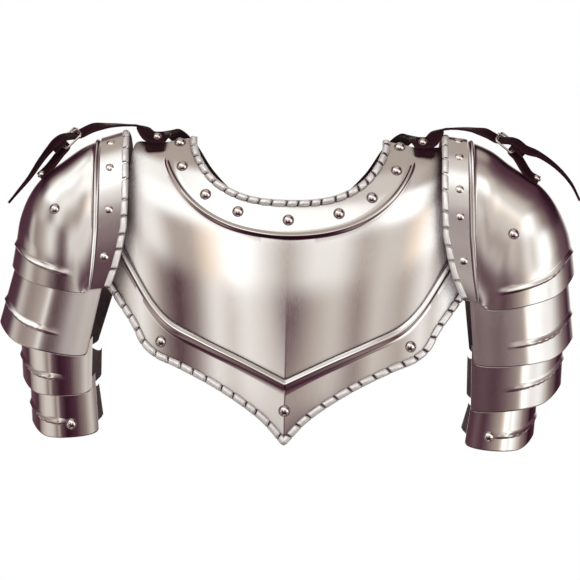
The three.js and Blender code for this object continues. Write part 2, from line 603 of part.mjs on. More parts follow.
// back strap: from the shoulder of the plate over the shoulder, across the back to the other side
const backRoute = [
  { x: 129, y: -5, z: 2, nx: 0, ny: -0.5, nz: 0.9 },
  { x: 127, y: 9, z: 4.6, nx: 0, ny: 0.1, nz: 1 },
  { x: 118, y: 29, z: 6, nx: 0.1, ny: 0.4, nz: 0.9 },
  { x: 103, y: 52, z: -8, nx: 0.2, ny: 0.7, nz: 0.7 },
  { x: 84, y: 75, z: -36, nx: 0.2, ny: 0.9, nz: 0.35 },
  { x: 60, y: 94, z: -60, nx: 0.15, ny: 0.95, nz: 0.15 },
  { x: 32, y: 106, z: -79, nx: 0.1, ny: 1, nz: 0.05 },
  { x: 0, y: 111, z: -92, nx: 0, ny: 1, nz: 0 },
  { x: -42, y: 105, z: -103, nx: -0.15, ny: 1, nz: 0 },
  { x: -85, y: 87, z: -114, nx: -0.5, ny: 0.85, nz: 0 },
  { x: -120, y: 61, z: -124, nx: -0.75, ny: 0.65, nz: 0 },
  { x: -143, y: 26, z: -132, nx: -0.95, ny: 0.3, nz: 0 },
  { x: -154, y: -10, z: -138, nx: -0.98, ny: -0.15, nz: 0 },
];
const crossing = { left_arm: 3.6, right_arm: -0.6 };   // one strap lies over the other at the back
const crossingReach = 90;
const strapEnd = { x: 155.5, z: -143 };                // riveted inside the plate at its side

function addBackStrap(pauldron) {
  const { name, side } = pauldron;
  const front = [
    onPlate(side * 133.5, -15, strapOnPlate),
    onPlate(side * 133.5, -10, strapOnPlate),
    onPlate(side * 132.5, -5, strapOnPlate + 0.2),
  ];
  const route = backRoute.map((p) => {
    const share = Math.exp(-((p.x / crossingReach) ** 2));
    return { point: new THREE.Vector3(side * p.x, p.y + crossing[name] * share, p.z),
      normal: new THREE.Vector3(side * p.nx, p.ny, p.nz) };
  });
  const inside = -(steelWall + seam + leatherWall / 2 + 1.2);
  const last = [
    onPlate(-side * (strapEnd.x + 2), strapEnd.z + 2, inside - 1),
    onPlate(-side * (strapEnd.x - 10), strapEnd.z, inside),
    onPlate(-side * (strapEnd.x - 26), strapEnd.z - 3, inside),
  ];
  addPart(`${name}_back_strap`, strap([...front, ...route, ...last], backStrapWidth), leather);
  const tab = onPlate(side * tabPlace.x, tabPlace.z, strapOnTab + leatherWall / 2 + tabRise.rivet);
  addRivet(`${name}_tab_rivet`, tab.point, tab.normal, 3.8);
}

buildPlate();
addPlateRivets('collar_rivet', collarRivets);
addPlateRivets('border_rivet', borderRivets);
for (const pauldron of pauldrons) {
  buildCop(pauldron);
  pauldron.lames.forEach((lame) => buildLame(pauldron, lame));
  addPauldronRivets(pauldron);
  addInnerStraps(pauldron);
  addBuckle(pauldron);
  addBackStrap(pauldron);
}

export default part;
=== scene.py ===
import math
import bpy
import numpy as np
from mathutils import Matrix, Vector


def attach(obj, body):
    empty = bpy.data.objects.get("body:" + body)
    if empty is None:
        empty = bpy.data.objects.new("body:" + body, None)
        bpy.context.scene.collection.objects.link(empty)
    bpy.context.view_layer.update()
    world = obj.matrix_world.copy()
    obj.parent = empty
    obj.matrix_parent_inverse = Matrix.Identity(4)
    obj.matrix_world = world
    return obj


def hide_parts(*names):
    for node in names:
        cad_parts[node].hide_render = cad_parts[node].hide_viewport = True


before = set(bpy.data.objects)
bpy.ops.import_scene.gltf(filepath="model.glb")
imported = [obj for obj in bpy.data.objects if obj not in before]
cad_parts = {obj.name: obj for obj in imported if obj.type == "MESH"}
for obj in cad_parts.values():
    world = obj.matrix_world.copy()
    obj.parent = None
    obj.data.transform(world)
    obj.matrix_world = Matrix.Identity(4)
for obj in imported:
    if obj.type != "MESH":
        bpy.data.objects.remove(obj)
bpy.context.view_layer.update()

body = "root"
mm = 0.001
scene = bpy.context.scene

# camera, lamps and floor
studio = {
    "aim": (3.1, 0, -150),       # millimetres, middle of the view
    "distance": 5000,
    "viewWidth": 580,            # width seen at the shoulder line
    "roll": 1.2,                 # degrees, the set hangs a little lower at its left arm
    "sensor": 36,
    "floorHeight": -620,
    "floorRadius": 2400,
    "floorTone": (0.86, 0.86, 0.86),
    "floorRoughness": 0.7,
    "fillFromRoom": 0.5,
    "fillTone": (1, 0.98, 0.97),
    "lampTarget": (0, 0, -0.15),
}
lamps = {                        # place and size in metres, power in watts
    "keyLight": {"place": (-1.4, -2.2, 1.9), "size": 1.6, "power": 60, "color": (1, 0.98, 0.96)},
    "fillLight": {"place": (2.2, -2.0, 0.4), "size": 1.8, "power": 26, "color": (0.96, 0.98, 1)},
}


def circle(sides):                        # cosine and sine at even steps round a full turn
    return [(math.cos(a), math.sin(a)) for a in (2 * math.pi * k / sides for k in range(sides))]


def addObject(name, data):
    holder = bpy.data.objects.new(name, data)
    scene.collection.objects.link(holder)
    return holder


def addCamera(s):
    camera = bpy.data.cameras.new("camera")
    camera.sensor_width = s["sensor"]
    camera.lens = s["sensor"] * s["distance"] / s["viewWidth"]
    camera.clip_end = 100
    holder = addObject("camera", camera)
    roll = math.radians(s["roll"])
    right = Vector((math.cos(roll), 0, math.sin(roll)))
    up = Vector((-math.sin(roll), 0, math.cos(roll)))
    back = Vector((0, -1, 0))
    turn = Matrix((right, up, back)).transposed().to_4x4()
    place = (Vector(s["aim"]) + back * s["distance"]) * mm
    holder.matrix_world = Matrix.Translation(place) @ turn
    scene.camera = holder


def addSoftLight(name, lamp, target):
    light = bpy.data.lights.new(name, "AREA")
    light.shape = "DISK"
    light.size = lamp["size"]
    light.energy = lamp["power"]
    light.color = lamp["color"]
    holder = addObject(name, light)
    holder.location = lamp["place"]
    holder.rotation_euler = (Vector(target) - Vector(lamp["place"])).to_track_quat("-Z", "Y").to_euler()
    holder.visible_glossy = False          # the steel mirrors the room, not the lamps


# helpers for shader trees
def feed(tree, value, socket):            # a plain value is set on the socket, an output is linked to it
    if isinstance(value, bpy.types.NodeSocket):
        tree.links.new(value, socket)
    else:
        socket.default_value = (*value, 1) if socket.type == "RGBA" else value


def addNode(tree, kind, sockets=None, **settings):
    node = tree.nodes.new("ShaderNode" + kind)
    for label, value in settings.items():
        setattr(node, label, value)
    for label, value in (sockets or {}).items():
        feed(tree, value, node.inputs[label])
    return node


def mathNode(tree, operation, first, second):
    return addNode(tree, "Math", {0: first, 1: second}, operation=operation).outputs[0]


def times(tree, first, second):
    return mathNode(tree, "MULTIPLY", first, second)


def mixColor(tree, factor, first, second):
    return addNode(tree, "Mix", {"Factor": factor, 6: first, 7: second}, data_type="RGBA").outputs[2]


def rangeNode(tree, value, low, high, toLow=0, toHigh=1, **settings):
    return addNode(tree, "MapRange", {"Value": value, "From Min": low, "From Max": high, "To Min": toLow,
                                      "To Max": toHigh}, **settings).outputs["Result"]


def newMaterial(name, values):
    material = bpy.data.materials.new(name)
    material.use_nodes = True
    tree = material.node_tree
    surface = tree.nodes["Principled BSDF"].inputs
    for label, value in values.items():
        feed(tree, value, surface[label])
    return material, tree, surface


# the room that the polished steel mirrors, in ten steps from the unlit corners to the lamps' white sheets
roomTones = [
    (0.09, 0.02, 0.06), (0.19, 0.09, 0.14), (0.30, 0.19, 0.235), (0.41, 0.32, 0.34), (0.54, 0.475, 0.455),
    (0.67, 0.62, 0.585), (0.80, 0.765, 0.735), (0.93, 0.91, 0.89), (1.04, 1.035, 1.02), (1.15, 1.15, 1.14),
    (0.96, 0.88, 0.80),                       # the warm curtain beside the window
]
toneCurve = 2.2               # the tones are written as the eye sees them
steelTone = 0.82              # the share of the light that the steel gives back
# rings of the room by height: compass angle (0 in front of the chest, + towards the left arm) and step
rings = [
    [(-180, 8), (-170, 7), (-160, 3), (-118, 2), (-106, 5), (-95, 6), (-85, 6), (-74, 4), (-60, 5), (-48, 3),
     (-36, 1), (-25, 2), (-15, 4), (-8, 6), (-2, 3), (4, 2), (10, 3), (18, 2), (24, 3), (30, 4), (37, 5),
     (42, 10), (47, 9), (60, 9), (70, 7), (80, 8), (90, 6), (100, 4), (112, 3), (124, 1), (158, 2), (168, 7)],
    [(-180, 8), (-168, 7), (-155, 2), (-112, 2), (-100, 2), (-90, 6), (-80, 4), (-64, 5), (-48, 7), (-42, 6),
     (-36, 4), (-30, 2), (-24, 4), (-18, 7), (-14, 6), (-10, 7), (-5, 6), (-1, 3), (3, 3), (7, 5), (12, 6),
     (18, 4), (24, 6), (33, 5), (42, 7), (48, 6), (58, 8), (68, 9), (80, 5), (92, 3), (130, 2), (165, 7)],
    [(-180, 8), (-168, 6), (-150, 1), (-110, 2), (-90, 4), (-70, 6), (-60, 5), (-54, 3), (-48, 5), (-42, 7),
     (-36, 7), (-30, 5), (-24, 5), (-19, 10), (-12, 9), (-6, 7), (0, 5), (6, 7), (12, 7), (18, 5), (24, 6),
     (30, 6), (34, 10), (42, 9), (50, 9), (60, 6), (70, 4), (90, 2), (110, 1), (150, 1), (165, 6)],
    [(-180, 6), (-165, 4), (-150, 1), (-110, 1), (-90, 3), (-76, 8), (-66, 8), (-58, 9), (-50, 7), (-44, 7),
     (-36, 8), (-30, 8), (-24, 8), (-10, 9), (-4, 9), (0, 8), (6, 8), (14, 8), (19, 7), (25, 9), (31, 9),
     (38, 6), (46, 6), (54, 5), (62, 4), (72, 3), (90, 2), (110, 1), (150, 0), (168, 4)],
    [(-150, 3), (-130, 1), (-110, 2), (-92, 5), (-75, 8), (-60, 7), (-50, 8), (-38, 8), (-28, 7), (-18, 8),
     (-10, 9), (-4, 8), (2, 6), (10, 6), (20, 6), (26, 6), (32, 5), (40, 5), (50, 4), (60, 3), (90, 2),
     (110, 2), (130, 1)],
    [(-180, 6), (-150, 3), (-120, 3), (-100, 5), (-80, 2), (-64, 4), (-45, 2), (0, 1), (45, 2), (64, 4),
     (80, 2), (100, 5), (120, 3), (150, 3)],          # the last ring is the floor
]
turns = [(-4, 1), (12, 17), (24, 30), (36, 43), (-12, -24)]    # degrees up where the next ring takes over
# from one height to another, and step: ceiling, darkness at the feet, pale floor straight below
polarBands = [((53, 64), 5), ((-48, -62), 0), ((-64, -76), 5)]


def roomTone(step):
    return tuple(part ** toneCurve / steelTone for part in roomTones[step])


def rampNode(tree, compass, stops):
    ramp = addNode(tree, "ValToRGB", {"Fac": rangeNode(tree, compass, -180, 180)})
    elements = ramp.color_ramp.elements
    elements.remove(elements[1])
    for i, (place, step) in enumerate(stops):
        spot = (place + 180) / 360
        element = elements[0] if i == 0 else elements.new(spot)
        element.position = spot
        element.color = (*roomTone(step), 1)
    return ramp.outputs["Color"]


def softStep(tree, value, degrees):        # 0 to 1 between two height angles
    low, high = [math.sin(math.radians(angle)) for angle in degrees]
    return rangeNode(tree, value, low, high, interpolation_type="SMOOTHSTEP")


def addWorld(s):
    world = bpy.data.worlds.new("softStudio")
    scene.world = world
    world.use_nodes = True
    tree = world.node_tree
    tree.nodes.clear()
    where = addNode(tree, "SeparateXYZ", {0: addNode(tree, "TexCoord").outputs["Generated"]}).outputs
    turn = mathNode(tree, "ARCTAN2", where["X"], times(tree, where["Y"], -1))
    compass = times(tree, turn, 180 / math.pi)
    whole = rampNode(tree, compass, rings[0])
    for ring, degrees in zip(rings[1:], turns):
        whole = mixColor(tree, softStep(tree, where["Z"], degrees), whole, rampNode(tree, compass, ring))
    for degrees, step in polarBands:
        whole = mixColor(tree, softStep(tree, where["Z"], degrees), whole, roomTone(step))
    mirrored = addNode(tree, "Background", {"Color": whole})
    soft = addNode(tree, "Background", {"Color": s["fillTone"], "Strength": s["fillFromRoom"]})
    pale = addNode(tree, "Background", {"Color": (1, 1, 1)})
    rays = addNode(tree, "LightPath").outputs
    lit = addNode(tree, "MixShader", {0: rays["Is Glossy Ray"], 1: soft.outputs[0], 2: mirrored.outputs[0]})
    seen = addNode(tree, "MixShader", {0: rays["Is Camera Ray"], 1: lit.outputs[0], 2: pale.outputs[0]})
    addNode(tree, "OutputWorld", {"Surface": seen.outputs[0]})


def addFloor(s):
    radius, height = s["floorRadius"] * mm, s["floorHeight"] * mm
    verts = [(radius * c, radius * s, height) for c, s in circle(64)]
    mesh = bpy.data.meshes.new("floor")
    mesh.from_pydata(verts, [], [list(range(len(verts)))])
    floor = addObject("floor", mesh)
    look = {"Base Color": s["floorTone"], "Roughness": s["floorRoughness"]}
    mesh.materials.append(newMaterial("paleFloor", look)[0])
    floor.visible_glossy = False


addCamera(studio)
addWorld(studio)
addFloor(studio)
for name, lamp in lamps.items():
    addSoftLight(name, lamp, studio["lampTarget"])
scene.view_settings.view_transform = "Standard"
print("stage: camera, lights and floor")


# finishes shared by several materials
def newGroup(name, inputs, build):        # build returns the group's outputs by name
    tree = bpy.data.node_groups.new(name, "ShaderNodeTree")
    for label, value in inputs.items():
        kind = "NodeSocketColor" if isinstance(value, tuple) else "NodeSocketFloat"
        tree.interface.new_socket(label, in_out="INPUT", socket_type=kind).default_value = value
    results = build(tree, tree.nodes.new("NodeGroupInput").outputs)
    kinds = {"RGBA": "NodeSocketColor", "VECTOR": "NodeSocketVector", "VALUE": "NodeSocketFloat"}
    for label, socket in results.items():
        tree.interface.new_socket(label, in_out="OUTPUT", socket_type=kinds[socket.type])
    out = tree.nodes.new("NodeGroupOutput").inputs
    for label, socket in results.items():
        feed(tree, socket, out[label])
    return tree


def noiseNode(tree, scale, detail, stretch=(1, 1, 1), rough=0.55):
    where = addNode(tree, "TexCoord").outputs["Object"]
    placed = addNode(tree, "Mapping", {"Vector": where, "Scale": stretch}).outputs[0]
    return addNode(tree, "TexNoise", {"Vector": placed, "Scale": scale, "Detail": detail,
                                      "Roughness": rough}).outputs["Fac"]


def brushed(tree, into):
    cloud = noiseNode(tree, 14, 3)
    fine = noiseNode(tree, 60, 4, (22, 22, 1.2), 0.6)         # drawn out along the polishing strokes
    tone = mathNode(tree, "ADD", times(tree, cloud, 0.7), times(tree, fine, 0.3))
    color = mixColor(tree, rangeNode(tree, tone, 0.35, 0.65), into["Dark Tone"], into["Light Tone"])
    swing = times(tree, rangeNode(tree, fine, 0.3, 0.7, -1, 1), into["Grain"])
    patch = times(tree, rangeNode(tree, cloud, 0.3, 0.7, -0.5, 0.5), into["Grain"])
    uneven = mathNode(tree, "ADD", swing, patch)
    return {"Color": color, "Roughness": mathNode(tree, "ADD", into["Roughness"], uneven), "Height": fine}


# Raised: edges rubbed bright by wear; Hollow: hollows darkened with painted shade
def rubbed(tree, into):
    shape = addNode(tree, "NewGeometry").outputs["Pointiness"]
    return {"Raised": rangeNode(tree, shape, into["Start"], into["End"]),
            "Hollow": rangeNode(tree, shape, 0.49, 0.42)}


def grained(tree, into):
    where = addNode(tree, "TexCoord").outputs["Object"]
    pores = addNode(tree, "TexVoronoi", {"Vector": where, "Scale": into["Pore Scale"]},
                    feature="DISTANCE_TO_EDGE")
    cloud = noiseNode(tree, 45, 4)
    crease = noiseNode(tree, 320, 3)
    skin = rangeNode(tree, pores.outputs["Distance"], 0, 0.12)
    return {"Color": mixColor(tree, rangeNode(tree, cloud, 0.35, 0.7), into["Dark"], into["Light"]),
            "Roughness": rangeNode(tree, cloud, 0.3, 0.7, 0.36, 0.55),
            "Height": mathNode(tree, "ADD", skin, times(tree, crease, 0.6))}


def leanedIn(tree, into):                  # tips the shading down a little, as a hammered plate leans in
    drop = addNode(tree, "CombineXYZ", {"Z": times(tree, into["Amount"], -1)}).outputs[0]
    normal = addNode(tree, "NewGeometry").outputs["Normal"]
    total = addNode(tree, "VectorMath", {0: normal, 1: drop}).outputs[0]
    return {"Normal": addNode(tree, "VectorMath", {0: total}, operation="NORMALIZE").outputs[0]}


brushedSteel = newGroup("brushedSteel", {"Light Tone": (0.8, 0.78, 0.76, 1), "Roughness": 0.2,
                                         "Dark Tone": (0.68, 0.65, 0.63, 1), "Grain": 0.05}, brushed)
edgeWear = newGroup("edgeWear", {"Start": 0.52, "End": 0.6}, rubbed)
leatherGrain = newGroup("leatherGrain", {"Dark": (0.02, 0.006, 0.009, 1), "Light": (0.07, 0.02, 0.03, 1),
                                         "Pore Scale": 900}, grained)
leanIn = newGroup("leanIn", {"Amount": 0.08}, leanedIn)
# the tones for rubbed edges are wear; the hollow and contact tones are painted shade
wearAndShadeTones = {"rubbed": (0.93, 0.92, 0.91), "hollow": (0.16, 0.10, 0.10), "contact": (0.03, 0.012, 0.02),
             "rubbedLeather": (0.07, 0.022, 0.03)}


def addRelief(tree, surface, height, strength, distance):
    relief = addNode(tree, "Bump", {"Strength": strength, "Distance": distance, "Height": height})
    feed(tree, relief.outputs[0], surface["Normal"])
    return relief


# reach is how near, in metres, a neighbour has to be for the painted contact shade in the steel's colour,
# shade where that starts and ends
def metalMaterial(name, light, dark, roughness, grain, bump, wear=0.35, hollow=0.5, metallic=1, lean=0,
                  reach=0.013, shade=(0.15, 0.57)):
    material, tree, surface = newMaterial(name, {"Metallic": metallic})
    metal = addNode(tree, "Group", {"Light Tone": light, "Dark Tone": dark, "Roughness": roughness,
                                    "Grain": grain}, node_tree=brushedSteel).outputs
    edge = addNode(tree, "Group", node_tree=edgeWear).outputs
    worn = mixColor(tree, times(tree, edge["Raised"], wear), metal["Color"], wearAndShadeTones["rubbed"])
    # painted shade in the hollows
    shaded = mixColor(tree, times(tree, edge["Hollow"], hollow), worn, wearAndShadeTones["hollow"])
    # painted contact shade: the colour darkens where ambient occlusion finds neighbours close by
    near = addNode(tree, "AmbientOcclusion", {"Distance": reach}, samples=8).outputs["AO"]
    lit = rangeNode(tree, near, *shade)
    feed(tree, mixColor(tree, lit, wearAndShadeTones["contact"], shaded), surface["Base Color"])
    feed(tree, metal["Roughness"], surface["Roughness"])
    relief = addRelief(tree, surface, metal["Height"], bump, 0.0002)
    if lean:
        tipped = addNode(tree, "Group", {"Amount": lean}, node_tree=leanIn)
        feed(tree, tipped.outputs["Normal"], relief.inputs["Normal"])
    return material


def leatherMaterial(name, dark, light, pores):
    material, tree, surface = newMaterial(name, {"Specular IOR Level": 0.1})
    hide = addNode(tree, "Group", {"Dark": dark, "Light": light, "Pore Scale": pores},
                   node_tree=leatherGrain).outputs
    edge = addNode(tree, "Group", node_tree=edgeWear).outputs
    wear = times(tree, edge["Raised"], 0.4)
    feed(tree, mixColor(tree, wear, hide["Color"], wearAndShadeTones["rubbedLeather"]), surface["Base Color"])
    feed(tree, hide["Roughness"], surface["Roughness"])
    addRelief(tree, surface, hide["Height"], 0.35, 0.0004)
    return material


bright = (0.84, 0.84, 0.835)
grey = (0.78, 0.765, 0.755)
chestSteel = metalMaterial("chestSteel", bright, (0.79, 0.775, 0.765), 0.1, 0.03, 0.02, reach=0.046,
                           shade=(0.6, 0.78))
guardSteel = metalMaterial("guardSteel", bright, grey, 0.17, 0.02, 0.03, lean=0.14)
lameSteel = metalMaterial("lameSteel", bright, grey, 0.08, 0.02, 0.03, lean=0.06)
ropeSteel = metalMaterial("ropeSteel", (0.95, 0.94, 0.92), (0.86, 0.84, 0.82), 0.2, 0.03, 0.08, hollow=0.8,
                          metallic=0.45)
rivetSteel = metalMaterial("rivetSteel", (0.92, 0.89, 0.87), (0.84, 0.80, 0.78), 0.1, 0.02, 0.05)
# dark steel for painted shade inside the plates, in rope notches, along rope feet and round rivet feet; the
# inside steel is also left black
insideSteel = metalMaterial("insideSteel", (0.19, 0.155, 0.165), (0.08, 0.06, 0.07), 0.42, 0.08, 0.3,
                            wear=0.1, metallic=0.8)
nickel = metalMaterial("nickel", (0.88, 0.85, 0.78), (0.78, 0.74, 0.66), 0.2, 0.05, 0.1)
strapLeather = leatherMaterial("strapLeather", (0.008, 0.0012, 0.003), (0.022, 0.004, 0.009), 900)
print("stage: materials")


# lines and sheets
def smoothLine(points, samples=1200):     # centripetal curve through the points, evenly spaced
    points = np.array(points, float)
    whole = np.vstack([2 * points[0] - points[1], points, 2 * points[-1] - points[-2]])
    pieces = []
    steps = max(8, samples // (len(points) - 1))
    for i in range(1, len(whole) - 2):
        p0, p1, p2, p3 = whole[i - 1:i + 3]
        d0, d1, d2 = [max(np.linalg.norm(step) ** 0.5, 1e-4) for step in (p1 - p0, p2 - p1, p3 - p2)]
        m1 = ((p1 - p0) / d0 - (p2 - p0) / (d0 + d1) + (p2 - p1) / d1) * d1
        m2 = ((p2 - p1) / d1 - (p3 - p1) / (d1 + d2) + (p3 - p2) / d2) * d1
        w = np.linspace(0, 1, steps, endpoint=False)[:, None]
        square = (-3 * p1 + 3 * p2 - 2 * m1 - m2) * w ** 2
        pieces.append(p1 + m1 * w + square + (2 * p1 - 2 * p2 + m1 + m2) * w ** 3)
    return np.vstack([*pieces, points[-1:]])


def lineLength(line):
    return np.linalg.norm(np.diff(line, axis=0), axis=1).sum()


def pointAt(line, share):                 # points at shares of the line's length
    run = np.concatenate([[0], np.cumsum(np.linalg.norm(np.diff(line, axis=0), axis=1))])
    share = np.atleast_1d(share) * run[-1]
    return np.stack([np.interp(share, run, line[:, k]) for k in range(line.shape[1])], axis=1)


def resample(values, shares):             # rows of values read at shares from the first row to the last
    spread = np.linspace(0, 1, len(values))
    return np.stack([np.interp(shares, spread, values[:, k]) for k in range(3)], axis=1)


def unit(v):
    return v / np.maximum(np.linalg.norm(v, axis=-1, keepdims=True), 1e-9)


def smoothStep(x, low, high):
    t = np.clip((x - low) / (high - low), 0, 1)
    return t * t * (3 - 2 * t)


def addMesh(name, verts, faces, material, smooth=35):
    mesh = bpy.data.meshes.new(name)
    mesh.from_pydata((np.asarray(verts) * mm).tolist(), [], faces)
    mesh.validate()
    mesh.shade_smooth()
    mesh.set_sharp_from_angle(angle=math.radians(smooth))
    mesh.materials.append(material)
    piece = addObject(name, mesh)
    piece.visible_glossy = False      # the polish shows the room alone, its neighbours only darken it through the painted contact shade
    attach(piece, body)
    return piece


def paintShade(piece, marked):                # painted shade: the marked faces take the dark steel, for the shade inside the plates, whose steel is also left black from the hammer, in rope notches and round rivet feet
    piece.data.materials.append(insideSteel)
    piece.data.polygons.foreach_set("material_index", np.asarray(marked, dtype=np.int32))


def tubeFaces(count, k):                  # quads along a run of cross sections with k points each
    a = np.arange(count - 1) * k
    rows = [(a + i, a + k + i, a + k + (i + 1) % k, a + (i + 1) % k) for i in range(k)]
    return np.vstack([np.stack(row, axis=1) for row in rows])


def sweep(centre, side, up, across, rise):      # cross sections set along a line
    ring = centre[:, None] + side[:, None] * across[..., None] + up[:, None] * rise[..., None]
    return ring.reshape(-1, 3)


def drumFaces(gaps, sides, start=0):      # quads between rings of points, then both ends
    faces = [[a + k, a + (k + 1) % sides, a + sides + (k + 1) % sides, a + sides + k]
             for a in range(start, start + gaps * sides, sides) for k in range(sides)]
    last = start + gaps * sides
    return faces + [list(range(start, start + sides))[::-1], list(range(last, last + sides))]


def gridFaces(rows, columns, start=0, flip=False):
    r, c = np.meshgrid(np.arange(rows - 1), np.arange(columns - 1), indexing="ij")
    a = (start + r * columns + c).ravel()
    faces = np.stack([a, a + columns, a + columns + 1, a + 1], axis=1)
    return faces[:, ::-1] if flip else faces


def addSheet(name, grid, lift, wall, outward, steel):     # closed plate from a grid of points
    normals = unit(np.cross(np.gradient(grid, axis=0), np.gradient(grid, axis=1))) * outward
    rows, columns = grid.shape[:2]
    outer = grid + normals * lift[..., None]
    inner = outer - normals * wall
    verts = np.vstack([outer.reshape(-1, 3), inner.reshape(-1, 3)])
    flip = outward < 0
    half = rows * columns
    faces = [gridFaces(rows, columns, 0, flip), gridFaces(rows, columns, half, not flip)]
    edge = np.concatenate([np.arange(columns), np.arange(1, rows) * columns + columns - 1,
                           (rows - 1) * columns + np.arange(columns - 2, -1, -1),
                           np.arange(rows - 2, 0, -1) * columns])
    nextEdge = np.roll(edge, -1)
    rim = np.stack([edge, nextEdge, nextEdge + half, edge + half], axis=1)
    faces.append(rim[:, ::-1] if flip else rim)
    piece = addMesh(name, verts, np.vstack(faces).tolist(), steel)
    order = np.arange(len(piece.data.polygons))
    # the inner face takes the dark steel: painted shade, on steel also left black inside
    paintShade(piece, (order >= len(faces[0])) & (order < 2 * len(faces[0])))     # the inner face
    return piece


def roundRidge(distance, halfWidth, height):
    return height * np.cos(np.clip(distance / halfWidth, -1, 1) * math.pi / 2) ** 2


def crestRidge(distance, halfWidth, height):    # a long slope above and a short sharp one below
    upper = np.clip(1 - distance / (1.5 * halfWidth), 0, 1) ** 1.3
    lower = np.clip(1 + distance / (0.5 * halfWidth), 0, 1) ** 0.8
    return height * np.where(distance > 0, upper, lower)


def roofRidge(distance, halfWidth, height):     # two flat faces that meet in a soft crest
    slope = np.clip(1 - np.abs(distance) / halfWidth, 0, 1)
    return height * np.minimum(slope * 1.12, 1) ** 1.1


# rolled and roped edges
rope = {
    "width": 7.0,
    "neckBrick": 12.5,            # length of one turn of the roping, for each edge
    "lowerBrick": 15.0,
    "copBrick": 18.0,
    "uneven": 0.22,
    "notchWidth": 0.85,
    "notchDepth": 0.8,
    "slant": 0.32,
    "belly": 0.05,                # how much each turn swells in its middle
    "pinch": 0.16,                # how much it narrows at a notch
    # the dark in a notch is painted shade
    "grime": 1.3,                 # half width of the dark in a notch, at its wide end
    "grimeTaper": 0.25,
    "step": 0.45,                 # distance between cross sections
}
ropeProfile = [(-3.5, -1.7), (-3.62, -0.4), (-3.5, 0.9), (-3.05, 2.2), (-2.2, 3.1), (-1.0, 3.55), (0.4, 3.6),
               (1.7, 3.35), (2.7, 2.6), (3.3, 1.5), (3.5, 0.3), (3.3, -0.6), (2.2, -1.7)]


def brickEnds(length, brick, uneven):
    ends = [0.0]
    turn = 0
    while ends[-1] < length:
        turn += 1
        ends.append(ends[-1] + brick * (1 + uneven * math.sin(turn * 2.4) * math.cos(turn * 1.1)))
    return np.array(ends)


def addRope(name, line, normals, into, brick):    # into: roughly away from the edge, into the plate
    inward = unit(np.cross(normals, unit(np.gradient(line, axis=0))))
    inward *= np.sign(np.sum(inward * into, axis=1))[:, None]
    length = lineLength(line)
    count = int(length / rope["step"])
    shares = np.linspace(0, 1, count)
    centre = pointAt(line, shares)
    up = unit(resample(normals, shares))
    side = unit(resample(inward, shares))
    ends = brickEnds(length, brick, rope["uneven"])
    profile = np.array(ropeProfile)
    run = shares[:, None] * length + profile[None, :, 0] * rope["slant"]
    nearest = np.min(np.abs(run[..., None] - ends[None, None, :]), axis=2)
    notch = rope["notchDepth"] * np.exp(-(nearest / rope["notchWidth"]) ** 2)
    belly = 1 + rope["belly"] * np.cos(np.clip(nearest / (brick / 2), 0, 1) * math.pi)
    above = profile[None, :, 1]
    rise = np.where(above > 0, above * (1 - notch) / belly, above)
    across = profile[None, :, 0] * (1 - rope["pinch"] * notch)
    k = len(profile)
    faces = tubeFaces(count, k)
    handed = np.dot(np.cross(unit(centre[1] - centre[0]), side[0]), up[0])
    quads = (faces if handed < 0 else faces[:, ::-1]).tolist()
    caps = [list(range(k)), list(range((count - 1) * k, count * k))[::-1]]
    quads += caps if handed > 0 else [c[::-1] for c in caps]
    piece = addMesh(name, sweep(centre, side, up, across, rise), quads, ropeSteel, 48)
    reach = rope["grime"] * np.interp(profile[:, 0], [-3.6, 3.6], [rope["grimeTaper"], 1])
    # painted shade in each notch, and along both feet a painted dark outline
    shadedFaces = (nearest[:-1] < reach[None, :]).T
    shadedFaces[[0, 1, k - 3, k - 2, k - 1]] = True          # along both feet
    paintShade(piece, np.append(shadedFaces.reshape(-1), [False, False]))


# domed rivets
rivet = {
    "radius": 5.0, "height": 3.6, "lift": 0.05,
    "footDepth": 0.5,             # how far the head is let into the steel
    "seat": 0.75, "seatRise": 0.12, "seatDepth": 0.4,
    "rings": 9, "sides": 28, "crown": 0.985,
}


def domeVerts(point, normal, radius, height):
    normal = Vector(normal).normalized()
    first = normal.orthogonal().normalized()
    second = normal.cross(first)
    verts = []
    for i in range(rivet["rings"]):
        angle = (i / (rivet["rings"] - 1)) * math.pi / 2 * rivet["crown"]
        r = radius * math.cos(angle)
        h = height * math.sin(angle)
        verts += [Vector(point) + first * (r * c) + second * (r * s) + normal * h
                  for c, s in circle(rivet["sides"])]
    return verts


def addRivets(name, places, radius=rivet["radius"]):      # places: point and outward way
    verts = []
    faces = []
    sides = rivet["sides"]

    def addRing(point, normal, radius, rise):
        verts.extend(domeVerts(point + normal * rise, normal, radius, 0.01)[:sides])

    for point, normal in places:
        faces += drumFaces(rivet["rings"], sides, len(verts))
        addRing(point, normal, radius, -rivet["footDepth"])
        height = rivet["height"] * radius / rivet["radius"]
        verts += domeVerts(point + normal * rivet["lift"], normal, radius, height)
    seats = len(faces)
    for point, normal in places:          # a painted shadow line round each foot
        faces += drumFaces(1, sides, len(verts))
        addRing(point, normal, radius + rivet["seat"], -rivet["seatDepth"])
        addRing(point, normal, radius + rivet["seat"], rivet["seatRise"])
    piece = addMesh(name, [tuple(v) for v in verts], faces, rivetSteel, 60)
    paintShade(piece, np.arange(len(piece.data.polygons)) >= seats)
    return piece


